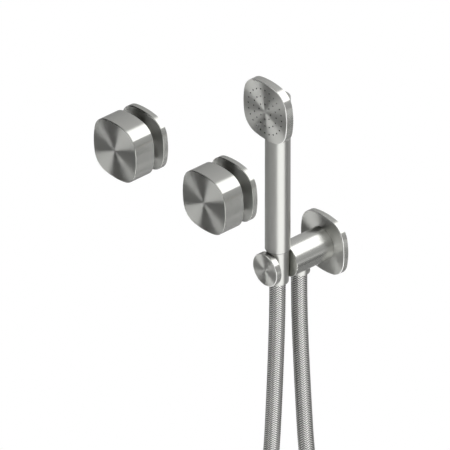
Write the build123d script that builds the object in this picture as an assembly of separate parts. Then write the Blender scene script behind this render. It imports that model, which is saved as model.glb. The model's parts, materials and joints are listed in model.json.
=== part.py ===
from build123d import *
import math
import os

# Wall-mounted shower mixer: two quarter-turn valves, a hose outlet that also holds
# the hand shower, the hose and the hand shower. Millimetres. The origin is on the wall
# at the centre of the outlet, X runs right along the wall, Y into the wall and Z up.

# Square-round outline shared by the knobs, plates, flange and spray head
OUTLINE_WIDTH = 60.0
OUTLINE_SIDE_RADIUS = 72.0
OUTLINE_CORNER_RADIUS = 19.0
EDGE_BREAK = 0.5

# Layout on the wall
COLD_VALVE_X = -126.0
VALVE_PITCH = 125.0
HOT_VALVE_X = COLD_VALVE_X - VALVE_PITCH

# Clearances
FIT = 0.1
LOOSE_FIT = 0.3
END_PLAY = 0.1

# Wall plates and gaskets
PLATE_THICKNESS = 5.5
GASKET_THICKNESS = 1.5
GASKET_INSET = 3.0
GASKET_WIDTH = 5.0

# Knobs
KNOB_GAP = 12.0
KNOB_DEPTH = 23.0
KNOB_WALL = 5.0
KNOB_FRONT_WALL = 6.0
KNOB_BOSS_WALL = 6.0
KNOB_BACK = PLATE_THICKNESS + KNOB_GAP
KNOB_FACE = KNOB_BACK + KNOB_DEPTH

# Valve headwork with the in-wall pipe thread, heights from the wall
PIPE_THREAD_DIAMETER = 20.955
VALVE_THREAD_LENGTH = 9.0
CAGE_DIAMETER = 17.2
CAGE_WALL = 1.5
CAGE_SLOT_WIDTH = 6.0
HEX_ACROSS_FLATS = 22.0
HEX_HEIGHT = 4.5
BARREL_DIAMETER = 19.0
NOSE_DIAMETER = 14.0
NOSE_HEIGHT = 4.0
COLLAR_DIAMETER = 30.0
COLLAR_END_GAP = 1.2
COLLAR_PAST_BARREL = 2.0
HEX_ACROSS_CORNERS = HEX_ACROSS_FLATS / math.cos(math.pi / 6)
PLATE_HOLE_DIAMETER = HEX_ACROSS_CORNERS + 2 * LOOSE_FIT
CHAMBER_DIAMETER = CAGE_DIAMETER - 2 * CAGE_WALL
COLLAR_END = KNOB_BACK - COLLAR_END_GAP
BARREL_END = COLLAR_END - COLLAR_PAST_BARREL
NOSE_END = BARREL_END + NOSE_HEIGHT

# Spindle, seal and clip
SPINDLE_DIAMETER = 8.0
SPINDLE_FLANGE_THICKNESS = 2.0
SPINDLE_SEAL_WIDTH = 2.0
SPINDLE_SEAL_DEPTH = 1.2
SPINDLE_SEAL_HEIGHT = 6.0
CLIP_THICKNESS = 0.8
CLIP_DIAMETER = 12.0
CLIP_GROOVE_DEPTH = 0.7
SPLINE_TEETH = 16
SPLINE_TIP_DIAMETER = 7.8
SPLINE_ROOT_DIAMETER = 6.8
SPLINE_LENGTH = 11.0
SPLINE_PAST_CLIP = 1.0
TONGUE_WIDTH = 2.6
TONGUE_HEIGHT = 1.0
CLIP_LOW = NOSE_END + END_PLAY
CLIP_HIGH = CLIP_LOW + CLIP_THICKNESS
SPLINE_LOW = CLIP_HIGH + SPLINE_PAST_CLIP
SPINDLE_END = SPLINE_LOW + SPLINE_LENGTH

# Ceramic discs and seat washer, stacked up from the mouth of the cage
SEAT_WASHER_THICKNESS = 2.0
SEAT_WASHER_BORE = 8.0
SEAT_WASHER_PROUD = 0.5
FIXED_DISC_THICKNESS = 2.5
MOVING_DISC_THICKNESS = 2.2
DISC_PORT_DIAMETER = 4.0
DISC_PORT_OFFSET = 3.6
DISC_DIAMETER = CHAMBER_DIAMETER - 2 * LOOSE_FIT
CAGE_LENGTH = 7.0
CAGE_END = -VALVE_THREAD_LENGTH - CAGE_LENGTH
WASHER_LOW = CAGE_END - SEAT_WASHER_PROUD
FIXED_DISC_LOW = WASHER_LOW + SEAT_WASHER_THICKNESS
MOVING_DISC_LOW = FIXED_DISC_LOW + FIXED_DISC_THICKNESS
SPINDLE_LOW = MOVING_DISC_LOW + MOVING_DISC_THICKNESS
CHAMBER_TOP = SPINDLE_LOW + SPINDLE_FLANGE_THICKNESS + END_PLAY

# Knob insert and grub screw
INSERT_DIAMETER = 14.0
INSERT_LENGTH = 12.0
INSERT_FLAT_DEPTH = 0.5
GRUB_DIAMETER = 5.0
GRUB_SOCKET_ACROSS_FLATS = 2.5
GRUB_SOCKET_DEPTH = 3.0
KNOB_RELIEF_CLEARANCE = 2.0
KNOB_RELIEF_DIAMETER = NOSE_DIAMETER + 2 * KNOB_RELIEF_CLEARANCE
INSERT_LOW = SPLINE_LOW
INSERT_HIGH = INSERT_LOW + INSERT_LENGTH
INSERT_FLAT = INSERT_DIAMETER / 2 - INSERT_FLAT_DEPTH
GRUB_HEIGHT = INSERT_LOW + INSERT_LENGTH / 2
BOSS_DIAMETER = INSERT_DIAMETER + 2 * KNOB_BOSS_WALL

# Outlet arm, its waterway and the holder at its end
ARM_DIAMETER = 33.0
HOLDER_OUT = 61.7
SLEEVE_DIAMETER = 21.0
SLEEVE_WALL = 1.4
SLEEVE_PAST_ARM = 1.2
SLEEVE_FLAT_DEPTH = 0.5
HOLDER_DISC_THICKNESS = 6.2
SLEEVE_FLAT = SLEEVE_DIAMETER / 2 - SLEEVE_FLAT_DEPTH
SLEEVE_BORE = SLEEVE_DIAMETER - 2 * SLEEVE_WALL
SLEEVE_TOP = ARM_DIAMETER / 2 + SLEEVE_PAST_ARM
SLEEVE_BOTTOM = -SLEEVE_TOP
ARM_END = HOLDER_OUT - SLEEVE_FLAT
HOLDER_DISC_BACK = HOLDER_OUT + SLEEVE_FLAT
HOLDER_DISC_FACE = HOLDER_DISC_BACK + HOLDER_DISC_THICKNESS
FLANGE_SEAL_WIDTH = 2.5
FLANGE_SEAL_DEPTH = 2.0
FLANGE_SEAL_HEIGHT = 2.2

# Inlet nipple, its seal and the non-return cartridge
NIPPLE_WALL_LENGTH = 15.0
NIPPLE_ARM_LENGTH = 12.0
NIPPLE_KEY_ACROSS_FLATS = 12.0
NIPPLE_RELIEF_DEPTH = 1.2
NIPPLE_RELIEF_WIDTH = 1.5
INLET_SEAL_THICKNESS = 1.0
INLET_SEAL_LIP = 1.0
CARTRIDGE_DIAMETER = 14.8
CARTRIDGE_LENGTH = 9.8
CARTRIDGE_PORT_DIAMETER = 4.0
CARTRIDGE_PORT_CIRCLE = 8.0
CARTRIDGE_PORTS = 4
WATERWAY_DIAMETER = 10.0
SOCKET_DEPTH = NIPPLE_ARM_LENGTH + INLET_SEAL_THICKNESS
CARTRIDGE_END = SOCKET_DEPTH + CARTRIDGE_LENGTH

# Hose and its two fittings
HOSE_DIAMETER = 15.5
HOSE_OUTLET_OUT = 34.6
HOSE_SOCKET_CLEARANCE = 0.15
FITTING_BORE = 8.0
OUTLET_COLLAR_DIAMETER = 20.6
OUTLET_COLLAR_PROUD = 1.9
OUTLET_COLLAR_SOCKET = 5.4
OUTLET_SHANK_DIAMETER = 14.0
OUTLET_SHANK_LENGTH = 8.0
OUTLET_PORT_DEPTH = 6.5
OUTLET_WASHER_THICKNESS = 1.5
TAIL_SHANK_DIAMETER = 14.8
TAIL_SHANK_LENGTH = 12.2
TAIL_WASHER_THICKNESS = 2.0
FERRULE_DIAMETER = 17.6
FERRULE_LENGTH = 9.5
FERRULE_SHOULDER = 2.8
ARM_UNDERSIDE = -ARM_DIAMETER / 2
OUTLET_COLLAR_END = ARM_UNDERSIDE - OUTLET_COLLAR_PROUD
OUTLET_PORT_TOP = ARM_UNDERSIDE + OUTLET_PORT_DEPTH
OUTLET_COLLAR_TOP = OUTLET_PORT_TOP - OUTLET_WASHER_THICKNESS
HOSE_OUTLET_Z = OUTLET_COLLAR_END + OUTLET_COLLAR_SOCKET
HOSE_SOCKET_DIAMETER = HOSE_DIAMETER + 2 * HOSE_SOCKET_CLEARANCE

# Hand shower
HANDLE_DIAMETER = 24.0
HANDLE_WALL = 1.5
HANDLE_CAP = 2.0
HANDLE_ABOVE_HEAD_CENTRE = 9.7
SEAT_RING_THICKNESS = 0.6
SEAT_RING_LIP = 1.2
TAIL_LENGTH = 22.2
TAIL_PLUG_LENGTH = 18.0
TAIL_CLEARANCE = 0.2
REGULATOR_DIAMETER = 15.8
REGULATOR_THICKNESS = 4.0
REGULATOR_PORTS = 6
REGULATOR_PORT_DIAMETER = 2.4
REGULATOR_PORT_CIRCLE = 9.0
HEAD_ABOVE_HANDLE_BOTTOM = 154.8
HEAD_DEPTH = 8.35
HEAD_FACE_OUT = 77.9
HEAD_WALL = 1.5
HEAD_INLET_DIAMETER = 10.0
SPRAY_HOLE_DIAMETER = 1.6
SPRAY_RING_RADII = (8.0, 15.5, 23.0)
SPRAY_RING_HOLES = (8, 16, 24)
HANDLE_BORE = HANDLE_DIAMETER - 2 * HANDLE_WALL
HANDLE_BOTTOM = SLEEVE_TOP + SEAT_RING_THICKNESS
SEAT_RING_DIAMETER = SLEEVE_DIAMETER + 2 * SEAT_RING_LIP
HEAD_CENTRE_Z = HANDLE_BOTTOM + HEAD_ABOVE_HANDLE_BOTTOM
HANDLE_TOP = HEAD_CENTRE_Z + HANDLE_ABOVE_HEAD_CENTRE
TAIL_DIAMETER = SLEEVE_BORE - 2 * TAIL_CLEARANCE
TAIL_BOTTOM = HANDLE_BOTTOM - TAIL_LENGTH
TAIL_TOP = HANDLE_BOTTOM + TAIL_PLUG_LENGTH
TAIL_SHOULDER = TAIL_BOTTOM - END_PLAY
HOSE_TAIL_Z = TAIL_SHOULDER - FERRULE_SHOULDER
TAIL_SHANK_TOP = TAIL_SHOULDER + TAIL_SHANK_LENGTH
TAIL_SOCKET_TOP = TAIL_SHANK_TOP + TAIL_WASHER_THICKNESS
HEAD_BACK_OUT = HEAD_FACE_OUT - HEAD_DEPTH

# Route of the hose from the hand shower down, round the loop and up to the outlet
HOSE_ROUTE = [
    (0, -HOLDER_OUT, HOSE_TAIL_Z),
    (0, -HOLDER_OUT, -42),
    (-1.6, -61.7, -92),
    (-4.4, -61.7, -152),
    (-8.4, -61.7, -218),
    (-19, -61.0, -286),
    (-36, -60.0, -344),
    (-57, -58.7, -394),
    (-75, -57.3, -442),
    (-77, -55.8, -490),
    (-56, -54.0, -532),
    (-16, -51.8, -558),
    (32, -49.2, -560),
    (74, -46.6, -536),
    (97, -44.2, -494),
    (95, -42.2, -446),
    (75, -40.4, -398),
    (51, -38.8, -346),
    (28, -37.2, -286),
    (11.8, -35.2, -218),
    (5.9, -34.6, -152),
    (2.0, -34.6, -94),
    (0, -HOSE_OUTLET_OUT, -46),
    (0, -HOSE_OUTLET_OUT, HOSE_OUTLET_Z),
]
HOSE_ARC_SHARE = 0.45


# Shapes used by many pieces
def rod(diameter, low, high):
    """A round bar along the local Z axis between two heights."""
    bar = Cylinder(diameter / 2, high - low, align=(Align.CENTER, Align.CENTER, Align.MIN))
    return Pos(0, 0, low) * bar


def ring(outer, inner, low, high):
    """A round tube along the local Z axis between two heights."""
    return rod(outer, low, high) - rod(inner, low, high)


def prism(outline, low, high):
    """An outline in the local XY plane extruded between two heights."""
    return Pos(0, 0, low) * extrude(outline, high - low, dir=(0, 0, 1))


def hexagon(across_flats):
    """A hexagon outline given by its width across flats."""
    return RegularPolygon(across_flats / 2, 6, major_radius=False)


def square_round(inset=0.0):
    """The shared outline, or its parallel curve inside it: four flat arcs and four corner arcs."""
    half = OUTLINE_WIDTH / 2 - inset
    side = OUTLINE_SIDE_RADIUS - inset
    corner = OUTLINE_CORNER_RADIUS - inset
    side_centre = half - side
    between = side - corner
    corner_centre = (side_centre + math.sqrt(2 * between**2 - side_centre**2)) / 2
    half_turn = math.degrees(math.atan2(corner_centre, corner_centre - side_centre))
    arcs = []
    for quarter in range(4):
        turn = 90 * quarter
        flat_at = Vector(side_centre, 0, 0).rotate(Axis.Z, turn)
        corner_at = Vector(corner_centre, corner_centre, 0).rotate(Axis.Z, turn)
        arcs.append(CenterArc(flat_at, side, turn - half_turn, 2 * half_turn))
        arcs.append(CenterArc(corner_at, corner, turn + half_turn, 90 - 2 * half_turn))
    return make_face([arc.edge() for arc in arcs])


def spline_outline(tip_diameter, root_diameter):
    """The toothed outline of the spindle's end."""
    points = []
    for step in range(2 * SPLINE_TEETH):
        radius = (root_diameter if step % 2 else tip_diameter) / 2
        turn = math.pi * step / SPLINE_TEETH
        points.append((radius * math.cos(turn), radius * math.sin(turn)))
    return make_face(Polyline(*points, close=True))


def broken_front_edge(solid):
    """The solid with its outermost edges chamfered."""
    return chamfer(solid.edges().group_by(Axis.Z)[-1], EDGE_BREAK)


def holes_on_circle(diameter, circle_radius, count, low, high):
    """Round holes evenly spaced on a circle, as one cutting shape."""
    return PolarLocations(circle_radius, count) * rod(diameter, low, high)


def on_wall(x, height=0.0, depth=0.0):
    """The frame of a wall unit: X along the wall, Y up and Z out of the wall."""
    return Plane(origin=(x, depth, height), x_dir=(1, 0, 0), z_dir=(0, -1, 0))


# Valve pieces, in the frame of a wall unit
def gasket_groove(high):
    """The band behind a plate that its gasket fills."""
    return prism(square_round(GASKET_INSET) - square_round(GASKET_INSET + GASKET_WIDTH), 0, high)


def make_gasket():
    outer = square_round(GASKET_INSET + FIT)
    inner = square_round(GASKET_INSET + GASKET_WIDTH - FIT)
    return prism(outer - inner, 0, GASKET_THICKNESS)


def make_plate(hole_diameter):
    plate = broken_front_edge(prism(square_round(), 0, PLATE_THICKNESS))
    return plate - gasket_groove(GASKET_THICKNESS) - rod(hole_diameter, 0, PLATE_THICKNESS)


def make_knob():
    knob = broken_front_edge(prism(square_round(), KNOB_BACK, KNOB_FACE))
    pocket = prism(square_round(KNOB_WALL), KNOB_BACK, KNOB_FACE - KNOB_FRONT_WALL)
    knob -= pocket - rod(BOSS_DIAMETER, KNOB_BACK, KNOB_FACE)
    knob -= rod(KNOB_RELIEF_DIAMETER, KNOB_BACK, INSERT_LOW)
    knob -= rod(INSERT_DIAMETER + 2 * FIT, INSERT_LOW, INSERT_HIGH)
    screw_way = rod(GRUB_DIAMETER + 2 * FIT, 0, OUTLINE_WIDTH / 2)
    return knob - Pos(0, 0, GRUB_HEIGHT) * Rot(90, 0, 0) * screw_way


def make_knob_insert():
    insert = rod(INSERT_DIAMETER, INSERT_LOW, INSERT_HIGH)
    spline = spline_outline(SPLINE_TIP_DIAMETER + 2 * FIT, SPLINE_ROOT_DIAMETER + 2 * FIT)
    insert -= prism(spline, INSERT_LOW, INSERT_HIGH)
    flat = Box(INSERT_DIAMETER, INSERT_DIAMETER, INSERT_LENGTH, align=(Align.CENTER, Align.MAX, Align.MIN))
    return insert - Pos(0, -INSERT_FLAT, INSERT_LOW) * flat


def make_grub_screw():
    screw = rod(GRUB_DIAMETER, INSERT_FLAT, BOSS_DIAMETER / 2)
    socket_low = BOSS_DIAMETER / 2 - GRUB_SOCKET_DEPTH
    screw -= prism(hexagon(GRUB_SOCKET_ACROSS_FLATS), socket_low, BOSS_DIAMETER / 2)
    return Pos(0, 0, GRUB_HEIGHT) * Rot(90, 0, 0) * screw


def make_collar():
    return ring(COLLAR_DIAMETER, BARREL_DIAMETER + 2 * FIT, PLATE_THICKNESS, COLLAR_END)


def make_headwork():
    body = rod(PIPE_THREAD_DIAMETER, -VALVE_THREAD_LENGTH, 0)
    body += prism(hexagon(HEX_ACROSS_FLATS), 0, HEX_HEIGHT)
    body += rod(BARREL_DIAMETER, HEX_HEIGHT, BARREL_END)
    body += rod(NOSE_DIAMETER, BARREL_END, NOSE_END)
    body += rod(CAGE_DIAMETER, CAGE_END, -VALVE_THREAD_LENGTH)
    body -= rod(SPINDLE_DIAMETER + 2 * FIT, CAGE_END, NOSE_END)
    body -= rod(CHAMBER_DIAMETER, CAGE_END, CHAMBER_TOP)
    slot = Box(CAGE_DIAMETER, CAGE_SLOT_WIDTH, CAGE_LENGTH, align=(Align.CENTER, Align.CENTER, Align.MIN))
    return body - Pos(0, 0, CAGE_END) * slot


def make_spindle():
    spindle = rod(DISC_DIAMETER, SPINDLE_LOW, SPINDLE_LOW + SPINDLE_FLANGE_THICKNESS)
    spindle += rod(SPINDLE_DIAMETER, SPINDLE_LOW, SPLINE_LOW)
    spindle += prism(spline_outline(SPLINE_TIP_DIAMETER, SPLINE_ROOT_DIAMETER), SPLINE_LOW, SPINDLE_END)
    tongue = prism(Rectangle(DISC_DIAMETER, TONGUE_WIDTH), SPINDLE_LOW - TONGUE_HEIGHT, SPINDLE_LOW)
    spindle += tongue & rod(DISC_DIAMETER, SPINDLE_LOW - TONGUE_HEIGHT, SPINDLE_LOW)
    seal_root = SPINDLE_DIAMETER - 2 * SPINDLE_SEAL_DEPTH
    seal_high = SPINDLE_SEAL_HEIGHT + SPINDLE_SEAL_WIDTH
    spindle -= ring(SPINDLE_DIAMETER, seal_root, SPINDLE_SEAL_HEIGHT, seal_high)
    clip_root = SPINDLE_DIAMETER - 2 * CLIP_GROOVE_DEPTH
    return spindle - ring(SPINDLE_DIAMETER, clip_root, CLIP_LOW, CLIP_HIGH)


def make_spindle_seal():
    inner = SPINDLE_DIAMETER - 2 * SPINDLE_SEAL_DEPTH + FIT
    return ring(SPINDLE_DIAMETER + FIT, inner, SPINDLE_SEAL_HEIGHT, SPINDLE_SEAL_HEIGHT + SPINDLE_SEAL_WIDTH)


def make_spindle_clip():
    inner = SPINDLE_DIAMETER - 2 * CLIP_GROOVE_DEPTH + FIT
    clip = ring(CLIP_DIAMETER, inner, CLIP_LOW, CLIP_HIGH)
    mouth = Box(inner, CLIP_DIAMETER, CLIP_THICKNESS, align=(Align.CENTER, Align.MIN, Align.MIN))
    return clip - Pos(0, 0, CLIP_LOW) * mouth


def make_moving_disc():
    high = MOVING_DISC_LOW + MOVING_DISC_THICKNESS
    disc = rod(DISC_DIAMETER, MOVING_DISC_LOW, high)
    disc -= prism(Rectangle(DISC_DIAMETER, TONGUE_WIDTH + 2 * FIT), high - TONGUE_HEIGHT - END_PLAY, high)
    ports = GridLocations(0, 2 * DISC_PORT_OFFSET, 1, 2) * rod(DISC_PORT_DIAMETER, MOVING_DISC_LOW, high)
    return disc - ports


def make_fixed_disc():
    high = FIXED_DISC_LOW + FIXED_DISC_THICKNESS
    lugs = prism(Rectangle(CAGE_DIAMETER, CAGE_SLOT_WIDTH - 2 * FIT), FIXED_DISC_LOW, high)
    disc = rod(DISC_DIAMETER, FIXED_DISC_LOW, high) + (lugs & rod(CAGE_DIAMETER, FIXED_DISC_LOW, high))
    ports = GridLocations(2 * DISC_PORT_OFFSET, 0, 2, 1) * rod(DISC_PORT_DIAMETER, FIXED_DISC_LOW, high)
    return disc - ports


def make_seat_washer():
    return ring(DISC_DIAMETER, SEAT_WASHER_BORE, WASHER_LOW, FIXED_DISC_LOW)


# Outlet pieces, in the frame of a wall unit
def make_flange_seal():
    outer = ARM_DIAMETER + 2 * FLANGE_SEAL_DEPTH
    return ring(outer, ARM_DIAMETER + FIT, FLANGE_SEAL_HEIGHT, FLANGE_SEAL_HEIGHT + FLANGE_SEAL_WIDTH)


def make_outlet_flange():
    flange = make_plate(ARM_DIAMETER + 2 * FIT)
    groove = ARM_DIAMETER + 2 * FLANGE_SEAL_DEPTH + FIT
    return flange - rod(groove, FLANGE_SEAL_HEIGHT, FLANGE_SEAL_HEIGHT + FLANGE_SEAL_WIDTH)


def make_outlet_arm():
    arm = broken_front_edge(rod(ARM_DIAMETER, 0, ARM_END))
    arm -= rod(PIPE_THREAD_DIAMETER + 2 * FIT, 0, SOCKET_DEPTH)
    arm -= rod(CARTRIDGE_DIAMETER + 2 * FIT, SOCKET_DEPTH, CARTRIDGE_END)
    arm -= rod(WATERWAY_DIAMETER, CARTRIDGE_END, HOSE_OUTLET_OUT + WATERWAY_DIAMETER / 2)
    port = rod(OUTLET_COLLAR_DIAMETER + 2 * FIT, -OUTLET_PORT_TOP, ARM_DIAMETER)
    port += rod(OUTLET_SHANK_DIAMETER + 2 * FIT, 0, -OUTLET_PORT_TOP)
    return arm - Pos(0, 0, HOSE_OUTLET_OUT) * Rot(90, 0, 0) * port


def make_inlet_nipple():
    nipple = rod(PIPE_THREAD_DIAMETER, -NIPPLE_WALL_LENGTH, NIPPLE_ARM_LENGTH)
    relief_root = PIPE_THREAD_DIAMETER - 2 * NIPPLE_RELIEF_DEPTH
    nipple -= ring(PIPE_THREAD_DIAMETER, relief_root, 0, NIPPLE_RELIEF_WIDTH)
    return nipple - prism(hexagon(NIPPLE_KEY_ACROSS_FLATS), -NIPPLE_WALL_LENGTH, NIPPLE_ARM_LENGTH)


def make_inlet_seal():
    bore = CARTRIDGE_DIAMETER - 2 * INLET_SEAL_LIP
    return ring(PIPE_THREAD_DIAMETER, bore, NIPPLE_ARM_LENGTH, SOCKET_DEPTH)


def make_check_cartridge():
    cartridge = rod(CARTRIDGE_DIAMETER, SOCKET_DEPTH, CARTRIDGE_END)
    return cartridge - holes_on_circle(
        CARTRIDGE_PORT_DIAMETER, CARTRIDGE_PORT_CIRCLE / 2, CARTRIDGE_PORTS, SOCKET_DEPTH, CARTRIDGE_END
    )


def make_holder_disc():
    return broken_front_edge(rod(ARM_DIAMETER, HOLDER_DISC_BACK, HOLDER_DISC_FACE))


# Upright pieces on the axis of the holder
def make_holder_sleeve():
    sleeve = ring(SLEEVE_DIAMETER, SLEEVE_BORE, SLEEVE_BOTTOM, SLEEVE_TOP)
    return sleeve & Box(SLEEVE_DIAMETER, 2 * SLEEVE_FLAT, SLEEVE_TOP - SLEEVE_BOTTOM)


def make_seat_ring():
    return ring(SEAT_RING_DIAMETER, SLEEVE_BORE, SLEEVE_TOP, HANDLE_BOTTOM)


def make_handle_tube():
    tube = rod(HANDLE_DIAMETER, HANDLE_BOTTOM, HANDLE_TOP)
    tube -= rod(HANDLE_BORE, HANDLE_BOTTOM, HANDLE_TOP - HANDLE_CAP)
    head_space = prism(square_round(-FIT), HEAD_BACK_OUT, HEAD_FACE_OUT)
    return tube - on_wall(0, HEAD_CENTRE_Z, HOLDER_OUT) * head_space


def make_handle_tail():
    tail = rod(TAIL_DIAMETER, TAIL_BOTTOM, HANDLE_BOTTOM)
    tail += rod(HANDLE_BORE - 2 * FIT, HANDLE_BOTTOM, TAIL_TOP)
    tail -= rod(TAIL_SHANK_DIAMETER + 2 * FIT, TAIL_BOTTOM, TAIL_SOCKET_TOP)
    tail -= rod(WATERWAY_DIAMETER, TAIL_SOCKET_TOP, TAIL_TOP)
    return tail - rod(REGULATOR_DIAMETER + 2 * FIT, TAIL_TOP - REGULATOR_THICKNESS, TAIL_TOP)


def make_flow_regulator():
    low = TAIL_TOP - REGULATOR_THICKNESS
    regulator = rod(REGULATOR_DIAMETER, low, TAIL_TOP)
    circle_radius = REGULATOR_PORT_CIRCLE / 2
    return regulator - holes_on_circle(REGULATOR_PORT_DIAMETER, circle_radius, REGULATOR_PORTS, low, TAIL_TOP)


def make_hose_tail_fitting():
    fitting = rod(TAIL_SHANK_DIAMETER, TAIL_SHOULDER, TAIL_SHANK_TOP)
    fitting += rod(FERRULE_DIAMETER, HOSE_TAIL_Z - FERRULE_LENGTH, TAIL_SHOULDER)
    fitting -= rod(HOSE_SOCKET_DIAMETER, HOSE_TAIL_Z - FERRULE_LENGTH, HOSE_TAIL_Z)
    return fitting - rod(FITTING_BORE, HOSE_TAIL_Z, TAIL_SHANK_TOP)


def make_tail_washer():
    return ring(TAIL_SHANK_DIAMETER, FITTING_BORE, TAIL_SHANK_TOP, TAIL_SOCKET_TOP)


# Upright pieces on the axis of the hose outlet
def make_hose_outlet_fitting():
    shank_top = OUTLET_COLLAR_TOP + OUTLET_SHANK_LENGTH
    fitting = rod(OUTLET_COLLAR_DIAMETER, OUTLET_COLLAR_END, OUTLET_COLLAR_TOP)
    fitting += rod(OUTLET_SHANK_DIAMETER, OUTLET_COLLAR_TOP, shank_top)
    fitting -= rod(HOSE_SOCKET_DIAMETER, OUTLET_COLLAR_END, HOSE_OUTLET_Z)
    return fitting - rod(FITTING_BORE, HOSE_OUTLET_Z, shank_top)


def make_outlet_washer():
    inner = OUTLET_SHANK_DIAMETER + 2 * FIT
    return ring(OUTLET_COLLAR_DIAMETER, inner, OUTLET_COLLAR_TOP, OUTLET_PORT_TOP)


# Spray head, in the frame of a wall unit
def make_spray_head():
    head = broken_front_edge(prism(square_round(), HEAD_BACK_OUT, HEAD_FACE_OUT))
    inner_face = HEAD_FACE_OUT - HEAD_WALL
    head -= prism(square_round(HEAD_WALL), HEAD_BACK_OUT, inner_face)
    for circle_radius, count in zip(SPRAY_RING_RADII, SPRAY_RING_HOLES):
        head -= holes_on_circle(SPRAY_HOLE_DIAMETER, circle_radius, count, inner_face, HEAD_FACE_OUT)
    return on_wall(0, HEAD_CENTRE_Z) * head


def make_head_back():
    plate = prism(square_round(HEAD_WALL + FIT), HEAD_BACK_OUT, HEAD_BACK_OUT + HEAD_WALL)
    plate -= rod(HEAD_INLET_DIAMETER, HEAD_BACK_OUT, HEAD_BACK_OUT + HEAD_WALL)
    return on_wall(0, HEAD_CENTRE_Z) * plate


# Hose
def hose_radii():
    """Arc radius at each inner point of the route, as large as the shorter run beside it allows."""
    points = [Vector(*point) for point in HOSE_ROUTE]
    radii = []
    for before, here, after in zip(points, points[1:], points[2:]):
        reach = HOSE_ARC_SHARE * min((here - before).length, (after - here).length)
        half_turn = math.radians((here - before).get_angle(after - here)) / 2
        radii.append(reach / math.tan(half_turn))
    return radii


def make_hose():
    path = FilletPolyline(*HOSE_ROUTE, radius=hose_radii())
    section = Plane(origin=HOSE_ROUTE[0], z_dir=(0, 0, -1)) * Circle(HOSE_DIAMETER / 2)
    hose = sweep(section, path=path)
    expected = math.pi * HOSE_DIAMETER**2 / 4 * path.length
    print("hose length", round(path.length, 1), "volume share", round(hose.volume / expected, 4))
    print("hose radii", [round(radius, 1) for radius in hose_radii()])
    return hose


def make_valve(prefix, x):
    """All pieces of one valve, by node name."""
    pieces = {
        "knob": make_knob(),
        "knob_insert": make_knob_insert(),
        "grub_screw": make_grub_screw(),
        "wall_plate": make_plate(PLATE_HOLE_DIAMETER),
        "plate_gasket": make_gasket(),
        "collar": make_collar(),
        "headwork": make_headwork(),
        "spindle": make_spindle(),
        "spindle_seal": make_spindle_seal(),
        "spindle_clip": make_spindle_clip(),
        "moving_disc": make_moving_disc(),
        "fixed_disc": make_fixed_disc(),
        "seat_washer": make_seat_washer(),
    }
    return {f"{prefix}_{name}": on_wall(x) * piece for name, piece in pieces.items()}


def make_outlet():
    """All pieces of the wall outlet with its holder, by node name."""
    on_outlet = on_wall(0)
    on_holder = Pos(0, -HOLDER_OUT, 0)
    return {
        "outlet_flange": on_outlet * make_outlet_flange(),
        "flange_gasket": on_outlet * make_gasket(),
        "flange_seal": on_outlet * make_flange_seal(),
        "outlet_arm": on_outlet * make_outlet_arm(),
        "inlet_nipple": on_outlet * make_inlet_nipple(),
        "inlet_seal": on_outlet * make_inlet_seal(),
        "check_cartridge": on_outlet * make_check_cartridge(),
        "holder_disc": on_outlet * make_holder_disc(),
        "holder_sleeve": on_holder * make_holder_sleeve(),
        "seat_ring": on_holder * make_seat_ring(),
    }


def make_hand_shower():
    """All pieces of the hand shower, by node name."""
    on_holder = Pos(0, -HOLDER_OUT, 0)
    return {
        "handle_tube": on_holder * make_handle_tube(),
        "handle_tail": on_holder * make_handle_tail(),
        "flow_regulator": on_holder * make_flow_regulator(),
        "spray_head": make_spray_head(),
        "head_back": make_head_back(),
    }


def make_hose_set():
    """The hose with its fittings and washers, by node name."""
    on_holder = Pos(0, -HOLDER_OUT, 0)
    under_arm = Pos(0, -HOSE_OUTLET_OUT, 0)
    return {
        "hose": make_hose(),
        "hose_tail_fitting": on_holder * make_hose_tail_fitting(),
        "tail_washer": on_holder * make_tail_washer(),
        "hose_outlet_fitting": under_arm * make_hose_outlet_fitting(),
        "outlet_washer": under_arm * make_outlet_washer(),
    }


def main():
    os.makedirs("parts", exist_ok=True)
    nodes = {}
    nodes.update(make_valve("hot", HOT_VALVE_X))
    nodes.update(make_valve("cold", COLD_VALVE_X))
    nodes.update(make_outlet())
    nodes.update(make_hose_set())
    nodes.update(make_hand_shower())
    for name, solid in nodes.items():
        export_step(solid, f"parts/{name}.step")


main()
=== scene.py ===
import json
import math

import bmesh
import bpy
from mathutils import Matrix, Vector


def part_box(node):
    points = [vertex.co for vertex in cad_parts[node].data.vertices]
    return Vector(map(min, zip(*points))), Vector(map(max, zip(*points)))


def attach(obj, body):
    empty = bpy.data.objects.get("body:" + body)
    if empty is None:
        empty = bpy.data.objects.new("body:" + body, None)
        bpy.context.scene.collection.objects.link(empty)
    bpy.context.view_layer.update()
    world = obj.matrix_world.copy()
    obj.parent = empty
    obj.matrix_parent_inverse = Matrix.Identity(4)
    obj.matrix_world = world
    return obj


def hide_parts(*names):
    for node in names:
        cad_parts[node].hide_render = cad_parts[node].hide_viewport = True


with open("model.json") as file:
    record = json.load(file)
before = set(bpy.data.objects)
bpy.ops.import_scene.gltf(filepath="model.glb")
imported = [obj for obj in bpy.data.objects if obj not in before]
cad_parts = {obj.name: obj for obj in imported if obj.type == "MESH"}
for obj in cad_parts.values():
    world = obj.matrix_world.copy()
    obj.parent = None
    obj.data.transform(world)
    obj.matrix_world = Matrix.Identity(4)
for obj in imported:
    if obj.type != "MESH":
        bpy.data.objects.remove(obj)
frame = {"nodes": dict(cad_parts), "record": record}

# The photograph's view, nearly parallel
VIEW_AZIMUTH = math.radians(47.925)
VIEW_ELEVATION = math.radians(31.932)
VIEW_WIDTH = 0.41943
VIEW_DISTANCE = 19.0
VIEW_CENTRE_RIGHT = -0.0947
VIEW_CENTRE_UP = 0.0145
SENSOR_WIDTH = 36.0

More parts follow.
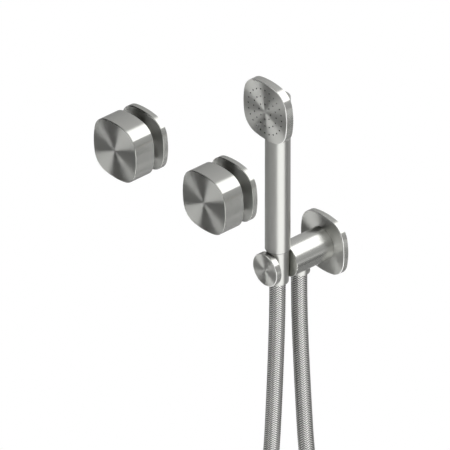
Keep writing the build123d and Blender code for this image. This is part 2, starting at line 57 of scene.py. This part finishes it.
# The hose's route from the hand shower's tail down and back up to the outlet, and the steps from one of
# its points to the next
HOSE_ROUTE = (
    (0.0, -0.0617, -0.0068),
    (0.0, -0.0617, -0.042),
    (-0.0016, -0.0617, -0.092),
    (-0.0044, -0.0617, -0.152),
    (-0.0084, -0.0617, -0.218),
    (-0.019, -0.0610, -0.286),
    (-0.036, -0.0600, -0.344),
    (-0.057, -0.0587, -0.394),
    (-0.075, -0.0573, -0.442),
    (-0.077, -0.0558, -0.490),
    (-0.056, -0.0540, -0.532),
    (-0.016, -0.0518, -0.558),
    (0.032, -0.0492, -0.560),
    (0.074, -0.0466, -0.536),
    (0.097, -0.0442, -0.494),
    (0.095, -0.0422, -0.446),
    (0.075, -0.0404, -0.398),
    (0.051, -0.0388, -0.346),
    (0.028, -0.0372, -0.286),
    (0.0118, -0.0352, -0.218),
    (0.0059, -0.0346, -0.152),
    (0.0020, -0.0346, -0.094),
    (0.0, -0.0346, -0.046),
    (0.0, -0.0346, -0.0130),
)
HOSE_DIAMETER = 0.0155
HOSE_STEPS = 48

# The braid: its strands round the hose each way, the length of hose from one to the next, and a strand's
# own sizes. A strand goes over as many strands of the other hand as its float, then under as many. Its
# section has a corner at each edge and one in the middle.
BRAID_STRANDS = 14
BRAID_PITCH = 0.00245
STRAND_WIDTH = 0.00186
STRAND_RISE = 0.00008
STRAND_LIFT = 0.00022
STRAND_FLOAT = 2
STRAND_CORNERS = (0.0, 1.0, 0.5)
STRAND_EDGE_ANGLE = math.radians(60.0)
STRAND_WIRES = 6
WIRE_DEPTH = 0.000012

# The lining under the braid: its sides, and the braid's rings from one of its sections to the next
LINING_SIDES = 24
LINING_STEP = 4

# The brushed steel's scratches, how much they change its roughness, and the part of a turn that lays its
# sheen across them
SCRATCH_WIDTH = 0.00025
SCRATCH_LENGTH = 0.012
SCRATCH_ROUGHNESS = 0.02
BRUSHING_TURN = 0.25

# How squarely a surface faces along a piece's axis, from 0 to 1: more than the first on a flat face, more
# than the second on a rounded edge, and less than the third on the wall of a bore
FACE_LIMIT = 0.9
EDGE_LIMIT = 0.4
BORE_WALL_LIMIT = 0.5

# How far the spray holes reach from the middle of the face
SPRAY_REACH = 0.0255

# The in-wall pipe threads, the part of a turn over which a ridge runs out, and a gap too small to see
THREAD_DIAMETER = 0.020955
THREAD_PITCH = 0.001814
THREAD_DEPTH = 0.001162
THREAD_SIDES = 48
THREAD_RUN_OUT = 0.25
SMALL_GAP = 0.00005

# The studio round the part
STUDIO_CENTRE = (-0.10, -0.04, 0.03)
TENT_RADIUS = 14.0
TENT_SEGMENTS = 48
TENT_COLOUR = (0.57, 0.57, 0.57, 1.0)
TENT_TOP_COLOUR = (0.94, 0.94, 0.94, 1.0)
TENT_FOOT_COLOUR = (0.29, 0.29, 0.29, 1.0)
WORLD_LIGHT = 0.5
PANEL_DISTANCE = 7.0
PANEL_STEP = 0.2
FLOOR_HEIGHT = -0.580
FLOOR_CENTRE = (0.01, -0.05)
FLOOR_RADIUS = 0.32
FLOOR_SEGMENTS = 64
FLOOR_FADE = 0.6
FLOOR_COLOUR = (0.85, 0.85, 0.85, 1.0)

# Panels that the steel reflects, each nearer than the one before: the compass angle from +X and the
# height angle it stands at, half its width and height as seen from the part, its roll and its light
PANELS = {
    "low_flag": (-114.3, -18.3, 1.51, 0.51, 38.0, 0.02),
    "left_flag": (-154.2, 25.6, 0.76, 0.57, -41.8, 0.02),
    "low_front_softbox": (-91.8, -52.0, 0.60, 0.05, -1.0, 4.34),
    "back_softbox": (60.9, 48.5, 1.25, 0.51, -35.3, 2.76),
    "right_softbox": (-10.7, -29.5, 0.50, 0.60, 47.1, 2.03),
    "front_softbox": (-100.1, 3.6, 0.36, 0.14, -31.4, 4.35),
    "low_left_softbox": (-120.9, -19.6, 0.62, 0.03, 13.3, 2.85),
    "back_low_softbox": (114.2, -43.1, 0.48, 0.04, 13.4, 2.20),
    "left_low_softbox": (-177.5, -41.3, 0.29, 0.06, -6.1, 2.94),
    "back_right_softbox": (36.0, -13.0, 0.45, 0.10, 0.0, 0.80),
    "back_right_flag": (43.0, -30.5, 0.32, 0.135, 0.0, 0.22),
}

# Colours, among them a painted highlight for rounded edges and painted shade for the braid and the spray
# holes, and how much of the braid's colour the painted shade leaves where a strand goes under others
STEEL_COLOUR = (0.476, 0.478, 0.456, 1.0)
STEEL_SCRATCH_COLOUR = (0.450, 0.452, 0.431, 1.0)
STEEL_FACE_COLOUR = (0.550, 0.552, 0.527, 1.0)
# A painted highlight for the rounded edges
STEEL_EDGE_HIGHLIGHT_COLOUR = (0.90, 0.90, 0.88, 1.0)
BRAID_COLOUR = (0.730, 0.730, 0.706, 1.0)
# Painted shade on the edges of the braid's strands and on the lining between them
BRAID_SHADE_COLOUR = (0.03, 0.03, 0.03, 1.0)
UNDER_SHADE = 0.35
BRASS_COLOURS = ((0.52, 0.34, 0.12, 1.0), (0.66, 0.47, 0.20, 1.0))
RUBBER_COLOURS = ((0.012, 0.012, 0.012, 1.0), (0.028, 0.028, 0.027, 1.0))
PLASTIC_COLOURS = ((0.020, 0.020, 0.022, 1.0), (0.032, 0.032, 0.034, 1.0))
CERAMIC_COLOURS = ((0.70, 0.67, 0.60, 1.0), (0.80, 0.78, 0.72, 1.0))
# Painted shade for the walls of the spray holes
BORE_SHADE_COLOURS = ((0.01, 0.01, 0.01, 1.0), (0.02, 0.02, 0.02, 1.0))
WHITE = (1.0, 1.0, 1.0, 1.0)
BLACK = (0.0, 0.0, 0.0, 1.0)

# Pieces brushed round an axis that stands out of the wall, and the body each rides on
TURNED_PIECES = {
    "hot_knob": "hot_handle",
    "cold_knob": "cold_handle",
    "hot_wall_plate": "base",
    "cold_wall_plate": "base",
    "head_back": "base",
}

# Pieces of the same kind with a painted highlight on their rounded edges, whose brushing runs the other way
# round
EDGE_HIGHLIGHT_PIECES = ("outlet_flange", "holder_disc", "spray_head")

# The arm that stands out of the wall, with finer brushing
ARM = "outlet_arm"

# Pieces with a pipe thread that goes into the wall
THREADED_PIECES = ("hot_headwork", "cold_headwork", "inlet_nipple")


class Value:
    """One output socket. Python's operators on it add Math nodes to its tree."""

    def __init__(self, shader, socket):
        self.shader = shader
        self.socket = socket

    def math(self, operation, *values):
        return self.shader.node("ShaderNodeMath", {"operation": operation}, dict(enumerate(values)))

    def __add__(self, other):
        return self.math("ADD", self, other)

    def __radd__(self, other):
        return self.math("ADD", other, self)

    def __sub__(self, other):
        return self.math("SUBTRACT", self, other)

    def __rsub__(self, other):
        return self.math("SUBTRACT", other, self)

    def __mul__(self, other):
        return self.math("MULTIPLY", self, other)

    def __rmul__(self, other):
        return self.math("MULTIPLY", other, self)

    def __truediv__(self, other):
        return self.math("DIVIDE", self, other)

    def __rtruediv__(self, other):
        return self.math("DIVIDE", other, self)

    def __gt__(self, other):
        return self.math("GREATER_THAN", self, other)

    def __lt__(self, other):
        return self.math("LESS_THAN", self, other)

    def __pow__(self, other):
        return self.math("POWER", self, other)

    def __rpow__(self, other):
        return self.math("POWER", other, self)

    def __abs__(self):
        return self.math("ABSOLUTE", self)

    def floor(self):
        return self.math("FLOOR", self)

    def larger(self, other):
        return self.math("MAXIMUM", self, other)


class Shader:
    """The nodes of one material or of the world."""

    def __init__(self, tree):
        self.tree = tree
        tree.nodes.clear()

    def node(self, kind, settings=None, sockets=None, output=0):
        made = self.tree.nodes.new(kind)
        for name, setting in (settings or {}).items():
            setattr(made, name, setting)
        for name, value in (sockets or {}).items():
            if isinstance(value, Value):
                self.tree.links.new(value.socket, made.inputs[name])
            else:
                made.inputs[name].default_value = value
        return Value(self, made.outputs[output]) if made.outputs else None

    def coordinates(self, output="Object"):
        return self.node("ShaderNodeTexCoord", output=output)

    def parts(self, vector):
        split = self.node("ShaderNodeSeparateXYZ", sockets={0: vector})
        return [Value(self, socket) for socket in split.socket.node.outputs]

    def vector(self, x, y, z):
        return self.node("ShaderNodeCombineXYZ", sockets={0: x, 1: y, 2: z})

    def noise(self, vector, scale=1.0, detail=2.0):
        return self.node("ShaderNodeTexNoise", sockets={"Vector": vector, "Scale": scale, "Detail": detail})

    def mix(self, factor, first, second):
        """Mixes two colours, by the numbers that the node gives its colour sockets."""
        return self.node("ShaderNodeMix", {"data_type": "RGBA"}, {0: factor, 6: first, 7: second}, output=2)

    def bump(self, height, distance, strength=1.0):
        sockets = {"Height": height, "Distance": distance, "Strength": strength}
        return self.node("ShaderNodeBump", sockets=sockets)

    def any_ray(self, *kinds):
        """1 for a ray of any of these kinds and 0 for another."""
        path = self.node("ShaderNodeLightPath").socket.node
        first, *others = [Value(self, path.outputs[kind]) for kind in kinds]
        for other in others:
            first = first.larger(other)
        return first


def radius_at(x, y):
    """How far a place lies from the axis."""
    return (x * x + y * y) ** 0.5


def new_material(name):
    """Makes a material, and the shader that its nodes are added to."""
    material = bpy.data.materials.new(name)
    material.use_nodes = True
    return material, Shader(material.node_tree)


def new_finish(name, sockets_from):
    """Makes a material whose main shader takes the sockets that sockets_from(shader) gives."""
    material, shader = new_material(name)
    surface = shader.node("ShaderNodeBsdfPrincipled", sockets=sockets_from(shader))
    shader.node("ShaderNodeOutputMaterial", sockets={"Surface": surface})
    return material


def new_mesh(name, shape):
    """Turns a finished shape into a mesh."""
    mesh = bpy.data.meshes.new(name)
    shape.to_mesh(mesh)
    shape.free()
    return mesh


def new_object(name, data):
    """Puts a mesh or a camera into the scene."""
    made = bpy.data.objects.new(name, data)
    bpy.context.scene.collection.objects.link(made)
    return made


# The camera


def view_axes():
    """The picture's right and up, and the way back to the camera."""
    sin_azimuth = math.sin(VIEW_AZIMUTH)
    cos_azimuth = math.cos(VIEW_AZIMUTH)
    sin_elevation = math.sin(VIEW_ELEVATION)
    cos_elevation = math.cos(VIEW_ELEVATION)
    right = Vector((cos_azimuth, sin_azimuth, 0.0))
    up = Vector((-sin_azimuth * sin_elevation, cos_azimuth * sin_elevation, cos_elevation))
    back = Vector((sin_azimuth * cos_elevation, -cos_azimuth * cos_elevation, sin_elevation))
    return right, up, back


def add_camera():
    right, up, back = view_axes()
    camera = bpy.data.cameras.new("camera")
    camera.sensor_width = SENSOR_WIDTH
    camera.lens = SENSOR_WIDTH * VIEW_DISTANCE / VIEW_WIDTH
    camera.clip_end = 3 * VIEW_DISTANCE
    holder = new_object("camera", camera)
    holder.location = right * VIEW_CENTRE_RIGHT + up * VIEW_CENTRE_UP + back * VIEW_DISTANCE
    holder.rotation_euler = (-back).to_track_quat("-Z", "Y").to_euler()
    bpy.context.scene.camera = holder


# The hose


def hose_line():
    """Points along a smooth spline that the route's points steer."""
    curve = bpy.data.curves.new("hose_line", "CURVE")
    curve.dimensions = "3D"
    spline = curve.splines.new("NURBS")
    spline.points.add(len(HOSE_ROUTE) - 1)
    for point, place in zip(spline.points, HOSE_ROUTE):
        point.co = (*place, 1.0)
    spline.order_u = 3
    spline.use_endpoint_u = True
    spline.resolution_u = HOSE_STEPS
    holder = bpy.data.objects.new("hose_line", curve)
    line = bpy.data.meshes.new_from_object(holder)
    points = [vertex.co.copy() for vertex in line.vertices]
    bpy.data.objects.remove(holder)
    bpy.data.curves.remove(curve)
    bpy.data.meshes.remove(line)
    return points


def even_points(points):
    """Points along the line at every crossing of the braid's strands."""
    lengths = [(after - before).length for before, after in zip(points, points[1:])]
    step = sum(lengths) / round(2 * sum(lengths) / BRAID_PITCH)
    even = [points[0]]
    to_next = step
    for before, after, length in zip(points, points[1:], lengths):
        while to_next <= length:
            even.append(before.lerp(after, to_next / length))
            to_next += step
        to_next -= length
    return even


def hose_rings(points):
    """At each point the hose's direction and two directions across it, which don't twist."""
    sideways = Vector((1.0, 0.0, 0.0))
    rings = []
    for place, point in enumerate(points):
        before = points[max(place - 1, 0)]
        after = points[min(place + 1, len(points) - 1)]
        along = (after - before).normalized()
        sideways = (sideways - along * sideways.dot(along)).normalized()
        rings.append((point, along, sideways, along.cross(sideways)))
    return rings


def ring_point(ring, forward, angle, radius):
    """A point on or under the hose's surface, given from one of its rings."""
    point, along, sideways, upward = ring
    out = sideways * math.cos(angle) + upward * math.sin(angle)
    return point + along * forward + out * radius


def add_closed_run(shape, sections):
    """Joins equal closed sections into one closed solid and gives its corners, section by section."""
    rows = [[shape.verts.new(place) for place in section] for section in sections]
    for before, after in zip(rows, rows[1:]):
        for side in range(len(before)):
            face = shape.faces.new((before[side - 1], before[side], after[side], after[side - 1]))
            face.smooth = True
    shape.faces.new(list(reversed(rows[0])))
    shape.faces.new(rows[-1])
    return rows


def map_strand(hose, rows, lifts):
    """Maps a strand by the place across it and by its lift."""
    braid_map = hose.loops.layers.uv.verify()
    for row, lift in zip(rows, lifts):
        for corner, place in zip(row, STRAND_CORNERS):
            for loop in corner.link_loops:
                loop[braid_map].uv = (place, lift)


def strand_lifts(rings, strand, hand):
    """At each ring, 1 where a strand goes over those of the other hand and 0 where it goes under them."""
    crossings = [2 * strand + hand * row for row in range(len(rings))]
    in_first_half = [crossing % (2 * STRAND_FLOAT) < STRAND_FLOAT for crossing in crossings]
    return [float(first != (hand > 0)) for first in in_first_half]


def strand_sections(rings, lifts, strand, hand):
    """The three-cornered sections of one strand."""
    half_turn = math.pi / BRAID_STRANDS
    lean = math.atan2(HOSE_DIAMETER / 2 * half_turn, BRAID_PITCH / 2)
    forward = STRAND_WIDTH / 2 * math.sin(lean)
    turn = STRAND_WIDTH / HOSE_DIAMETER * math.cos(lean)
    sections = []
    for row, ring in enumerate(rings):
        angle = (2 * strand + 1 + hand * row) * half_turn
        top = HOSE_DIAMETER / 2 - STRAND_LIFT * (1 - lifts[row])
        foot = top - STRAND_RISE
        sections.append((
            ring_point(ring, -forward, angle + hand * turn, foot),
            ring_point(ring, forward, angle - hand * turn, foot),
            ring_point(ring, 0.0, angle, top),
        ))
    return sections


def lining_sections(rings):
    """The sections of the plain tube under the braid."""
    radius = HOSE_DIAMETER / 2 - STRAND_LIFT - STRAND_RISE
    angles = [2 * math.pi * side / LINING_SIDES for side in range(LINING_SIDES)]
    kept = [*rings[:-1:LINING_STEP], rings[-1]]
    return [[ring_point(ring, 0.0, angle, radius) for angle in angles] for ring in kept]


def hose_mesh(points):
    """The lining and the strands that cross over it, each a closed solid."""
    hose = bmesh.new()
    rings = hose_rings(points)
    # The lining gets no braid map, so it takes the braid's painted shade colour all over
    add_closed_run(hose, lining_sections(rings))
    for hand in (-1, 1):
        for strand in range(BRAID_STRANDS):
            lifts = strand_lifts(rings, strand, hand)
            rows = add_closed_run(hose, strand_sections(rings, lifts, strand, hand))
            map_strand(hose, rows, lifts)
    bmesh.ops.recalc_face_normals(hose, faces=hose.faces)
    mesh = new_mesh("braided_hose", hose)
    mesh.set_sharp_from_angle(angle=STRAND_EDGE_ANGLE)
    return mesh


def add_hose():
    points = even_points(hose_line())
    hose = new_object("braided_hose", hose_mesh(points))
    hose.data.materials.append(new_finish("braided_steel_wire", braid_sockets))
    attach(hose, "base")
    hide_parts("hose")


def arch(across):
    """1 in the middle of a strip and 0 at both of its edges."""
    return 4 * across * (1 - across)


def braid_sockets(shader):
    """Bright wires side by side in each strand, with painted shade towards its edges and where it goes
    under others.
    """
    across, lift = shader.parts(shader.coordinates("UV"))[:2]
    # Painted shade: darker towards the strand's edges and where it goes under others
    ridge = arch(across) ** 2 * (UNDER_SHADE + (1 - UNDER_SHADE) * lift)
    wire = across * STRAND_WIRES - (across * STRAND_WIRES).floor()
    return {
        "Base Color": shader.mix(ridge, BRAID_SHADE_COLOUR, BRAID_COLOUR),
        "Metallic": 1.0,
        "Roughness": 0.44,
        "Normal": shader.bump(arch(wire), WIRE_DEPTH),
    }


# The finishes


def scratch_lines(shader, across, x, y):
    """Noise drawn out round an axis into fine lines, which lie side by side in the direction across."""
    return shader.noise(shader.vector(across / SCRATCH_WIDTH, x / SCRATCH_LENGTH, y / SCRATCH_LENGTH))


def turned_scratches(shader):
    """Lines round a piece's own axis on its face and sides, and where its face and rounded edge are."""
    x, y, z = shader.parts(shader.coordinates("Object"))
    facing = shader.parts(shader.coordinates("Normal"))[2]
    on_face = abs(facing) > FACE_LIMIT
    on_edge = (abs(facing) > EDGE_LIMIT) - on_face
    across = on_face * radius_at(x, y) + (1 - on_face) * z
    return scratch_lines(shader, across, x, y), on_face, on_edge


def brushed_sockets(shader, scratch, roughness, sheen):
    """Steel whose sheen is drawn out across its scratches."""
    return {
        "Base Color": shader.mix(scratch, STEEL_SCRATCH_COLOUR, STEEL_COLOUR),
        "Metallic": 1.0,
        "Roughness": roughness + SCRATCH_ROUGHNESS * (scratch - 0.5),
        "Anisotropic": sheen,
        "Anisotropic Rotation": BRUSHING_TURN,
    }


def turned_steel_sockets(shader):
    """Faces that are rougher than the sides."""
    scratch, on_face, _ = turned_scratches(shader)
    return brushed_sockets(shader, scratch, roughness=0.26 + 0.115 * on_face, sheen=1.0)


def edge_highlight_steel_sockets(shader):
    """Lighter faces, and rounded edges that are rougher still and carry a painted highlight."""
    scratch, on_face, on_edge = turned_scratches(shader)
    roughness = 0.25 + 0.17 * on_face + 0.3 * on_edge
    sockets = brushed_sockets(shader, scratch, roughness, sheen=0.91)
    brushed = shader.mix(on_face, sockets["Base Color"], STEEL_FACE_COLOUR)
    # The rounded edges take the painted highlight colour
    return {**sockets, "Base Color": shader.mix(on_edge, brushed, STEEL_EDGE_HIGHLIGHT_COLOUR)}


def arm_steel_sockets(shader):
    """Finer brushing, in which the light ends sharply at the flange."""
    scratch, _, _ = turned_scratches(shader)
    return brushed_sockets(shader, scratch, roughness=0.25, sheen=0.3)


def tube_steel_sockets(shader):
    """The handle, the sleeve and the other upright pieces."""
    x, y, z = shader.parts(shader.coordinates("Object"))
    return brushed_sockets(shader, scratch_lines(shader, z, x, y), roughness=0.33, sheen=0.52)


def brass_sockets(shader):
    patches = shader.noise(shader.coordinates("Object"), scale=140.0, detail=3.0)
    return {
        "Base Color": shader.mix(patches, *BRASS_COLOURS),
        "Metallic": 1.0,
        "Roughness": 0.24 + 0.16 * patches,
    }


def rubber_sockets(shader):
    grain = shader.noise(shader.coordinates("Object"), scale=2600.0, detail=3.0)
    return {
        "Base Color": shader.mix(grain, *RUBBER_COLOURS),
        "Roughness": 0.6 + 0.2 * grain,
        "Normal": shader.bump(grain, distance=0.0001, strength=0.4),
    }


def plastic_sockets(shader):
    grain = shader.noise(shader.coordinates("Object"), scale=3200.0)
    return {
        "Base Color": shader.mix(grain, *PLASTIC_COLOURS),
        "Roughness": 0.42 + 0.12 * grain,
        "Normal": shader.bump(grain, distance=0.00006, strength=0.3),
    }


def ceramic_sockets(shader):
    grain = shader.noise(shader.coordinates("Object"), scale=900.0, detail=4.0)
    return {
        "Base Color": shader.mix(grain, *CERAMIC_COLOURS),
        "Roughness": 0.18 + 0.14 * grain,
    }


def bore_shade_sockets(shader):
    # Near black and without reflections: painted shade inside the spray holes
    grain = shader.noise(shader.coordinates("Object"), scale=3000.0)
    return {
        "Base Color": shader.mix(grain, *BORE_SHADE_COLOURS),
        "Roughness": 0.6 + 0.2 * grain,
        "Specular IOR Level": 0.0,
    }


# The pieces


def dress(piece, material):
    """Puts one finish on the whole of a piece."""
    piece.data.materials.clear()
    piece.data.materials.append(material)


def darken_bores(head, material):
    """Gives the walls of the drilled spray holes a second finish, which is painted shade."""
    head.data.materials.append(material)
    for face in head.data.polygons:
        on_wall = abs(face.normal.z) < BORE_WALL_LIMIT
        if on_wall and face.center.xy.length < SPRAY_REACH:
            face.material_index = 1


def add_turned_piece(name, body, material):
    """Copies a piece into an object whose own Z is the axis that the brushing runs round."""
    low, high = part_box(name)
    centre = (Vector(low) + Vector(high)) / 2
    place = Matrix.Translation(centre) @ Matrix.Rotation(math.pi / 2, 4, "X")
    mesh = frame["nodes"][name].data.copy()
    mesh.transform(place.inverted())
    piece = new_object("brushed_" + name, mesh)
    piece.matrix_world = place
    dress(piece, material)
    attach(piece, body)
    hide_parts(name)
    return piece


def thread_sections(centre, start, end):
    """The three-cornered sections of a thread's ridge, which runs out at both ends."""
    root = THREAD_DIAMETER / 2 - THREAD_DEPTH
    half = THREAD_PITCH / 2 - SMALL_GAP
    count = int((end - start - 2 * half) / THREAD_PITCH * THREAD_SIDES)
    run_out = THREAD_RUN_OUT * THREAD_SIDES
    sections = []
    for step in range(count + 1):
        angle = 2 * math.pi * step / THREAD_SIDES
        out = Vector((math.cos(angle), 0.0, math.sin(angle)))
        middle = centre + Vector((0.0, start + half + THREAD_PITCH * step / THREAD_SIDES, 0.0))
        rise = min(1.0, step / run_out, (count - step) / run_out)
        foot = middle + out * (root - SMALL_GAP)
        side = Vector((0.0, half, 0.0))
        sections.append((foot - side, foot + side, middle + out * (root + THREAD_DEPTH * rise)))
    return sections


def add_threaded_piece(name, material):
    """Copies a piece, turns its plain in-wall end down to the thread's root and winds the ridge on it."""
    low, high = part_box(name)
    centre = Vector(((low[0] + high[0]) / 2, 0.0, (low[2] + high[2]) / 2))
    shape = bmesh.new()
    shape.from_mesh(frame["nodes"][name].data)
    ends = []
    for corner in shape.verts:
        out = corner.co - centre
        depth = out.y
        out.y = 0.0
        if abs(out.length - THREAD_DIAMETER / 2) < SMALL_GAP and depth > -SMALL_GAP:
            corner.co -= out.normalized() * THREAD_DEPTH
            ends.append(depth)
    add_closed_run(shape, thread_sections(centre, min(ends), max(ends)))
    bmesh.ops.recalc_face_normals(shape, faces=shape.faces)
    piece = new_object("threaded_" + name, new_mesh("threaded_" + name, shape))
    dress(piece, material)
    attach(piece, "base")
    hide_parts(name)


def mirror_brushing(piece):
    """Mirrors the space that the brushing's direction is taken from."""
    size = piece.data.texspace_size.copy()
    piece.data.use_auto_texspace = False
    piece.data.texspace_size = (-size.x, size.y, size.z)


def dress_pieces():
    turned_steel = new_finish("turned_steel", turned_steel_sockets)
    edge_highlight_steel = new_finish("edge_highlight_steel", edge_highlight_steel_sockets)
    for name, body in TURNED_PIECES.items():
        add_turned_piece(name, body, turned_steel)
    for name in EDGE_HIGHLIGHT_PIECES:
        mirror_brushing(add_turned_piece(name, "base", edge_highlight_steel))
    add_turned_piece(ARM, "base", new_finish("arm_steel", arm_steel_sockets))
    darken_bores(bpy.data.objects["brushed_spray_head"], new_finish("painted_bore_shade", bore_shade_sockets))
    finishes = {
        "steel": new_finish("tube_steel", tube_steel_sockets),
        "brass": new_finish("machined_brass", brass_sockets),
        "rubber": new_finish("seal_rubber", rubber_sockets),
        "plastic": new_finish("valve_plastic", plastic_sockets),
        "ceramic": new_finish("lapped_ceramic", ceramic_sockets),
    }
    for name in THREADED_PIECES:
        add_threaded_piece(name, finishes["brass"])
    replaced = ("hose", ARM, *TURNED_PIECES, *EDGE_HIGHLIGHT_PIECES, *THREADED_PIECES)
    for subpart in frame["record"]["subparts"]:
        if subpart["node"] not in replaced:
            dress(frame["nodes"][subpart["node"]], finishes[subpart["material_slot"]])


# The studio


def glowing(name, strength):
    material, shader = new_material(name)
    glow = shader.node("ShaderNodeEmission", sockets={"Color": WHITE, "Strength": strength})
    shader.node("ShaderNodeOutputMaterial", sockets={"Surface": glow})
    return material


def add_stage(name, mesh, material):
    """A piece of the studio, which lights the part or is reflected in it, and isn't seen itself."""
    piece = new_object(name, mesh)
    mesh.materials.append(material)
    piece.visible_camera = False
    return piece


def tent_sockets(shader):
    """Cloth that glows more towards the top and less towards the foot."""
    height = shader.parts(shader.coordinates("Object"))[2] / TENT_RADIUS
    upper = shader.mix(height.larger(0.0), TENT_COLOUR, TENT_TOP_COLOUR)
    return {
        "Base Color": BLACK,
        "Specular IOR Level": 0.0,
        "Emission Color": shader.mix((0.0 - height).larger(0.0), upper, TENT_FOOT_COLOUR),
        "Emission Strength": 1.0,
    }


def add_tent():
    """Grey cloth all round, which the steel reflects."""
    shape = bmesh.new()
    half = TENT_SEGMENTS // 2
    bmesh.ops.create_uvsphere(shape, u_segments=TENT_SEGMENTS, v_segments=half, radius=TENT_RADIUS)
    tent = add_stage("tent", new_mesh("tent", shape), new_finish("tent_cloth", tent_sockets))
    tent.location = STUDIO_CENTRE


def add_panel(name, distance, compass, height_angle, half_width, half_height, roll, strength):
    """A lit softbox or a dark flag that faces the part."""
    compass = math.radians(compass)
    height_angle = math.radians(height_angle)
    level = math.cos(height_angle)
    way = Vector((level * math.cos(compass), level * math.sin(compass), math.sin(height_angle)))
    right = Vector((0.0, 0.0, 1.0)).cross(way).normalized()
    up = way.cross(right)
    turn = Matrix((right, up, way)).transposed().to_4x4() @ Matrix.Rotation(math.radians(roll), 4, "Z")
    width = half_width * distance
    height = half_height * distance
    mesh = bpy.data.meshes.new(name)
    corners = [(x * width, y * height, 0.0) for x, y in ((-1, -1), (1, -1), (1, 1), (-1, 1))]
    mesh.from_pydata(corners, [], [(0, 1, 2, 3)])
    panel = add_stage(name, mesh, glowing(name, strength))
    panel.matrix_world = Matrix.Translation(Vector(STUDIO_CENTRE) + way * distance) @ turn


def floor_paint():
    """Pale paint that fades out towards the floor's rim."""
    material, shader = new_material("pale_floor")
    x, y, _ = shader.parts(shader.coordinates("Object"))
    fade = (radius_at(x, y) / FLOOR_RADIUS - FLOOR_FADE) / (1 - FLOOR_FADE)
    paint = shader.node("ShaderNodeBsdfDiffuse", sockets={"Color": FLOOR_COLOUR})
    clear = shader.node("ShaderNodeBsdfTransparent")
    surface = shader.node("ShaderNodeMixShader", sockets={0: fade.larger(0.0), 1: paint, 2: clear})
    shader.node("ShaderNodeOutputMaterial", sockets={"Surface": surface})
    return material


def add_floor():
    """A pale disc under the hose, which the camera does see."""
    shape = bmesh.new()
    bmesh.ops.create_circle(shape, cap_ends=True, segments=FLOOR_SEGMENTS, radius=FLOOR_RADIUS)
    floor = add_stage("floor", new_mesh("floor", shape), floor_paint())
    floor.location = (*FLOOR_CENTRE, FLOOR_HEIGHT)
    floor.visible_camera = True


def add_background():
    """White to the camera and in reflections, and a weaker light for every other ray."""
    world = bpy.data.worlds.new("white_background")
    world.use_nodes = True
    shader = Shader(world.node_tree)
    seen = shader.any_ray("Is Camera Ray", "Is Glossy Ray", "Is Transmission Ray")
    strength = seen + (1 - seen) * WORLD_LIGHT
    white = shader.node("ShaderNodeBackground", sockets={"Color": WHITE, "Strength": strength})
    shader.node("ShaderNodeOutputWorld", sockets={"Surface": white})
    bpy.context.scene.world = world


def add_studio():
    add_background()
    add_floor()
    add_tent()
    for order, (name, panel) in enumerate(PANELS.items()):
        add_panel(name, PANEL_DISTANCE - PANEL_STEP * order, *panel)


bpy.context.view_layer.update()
bpy.context.scene.view_settings.view_transform = "Standard"
add_camera()
add_hose()
dress_pieces()
add_studio()
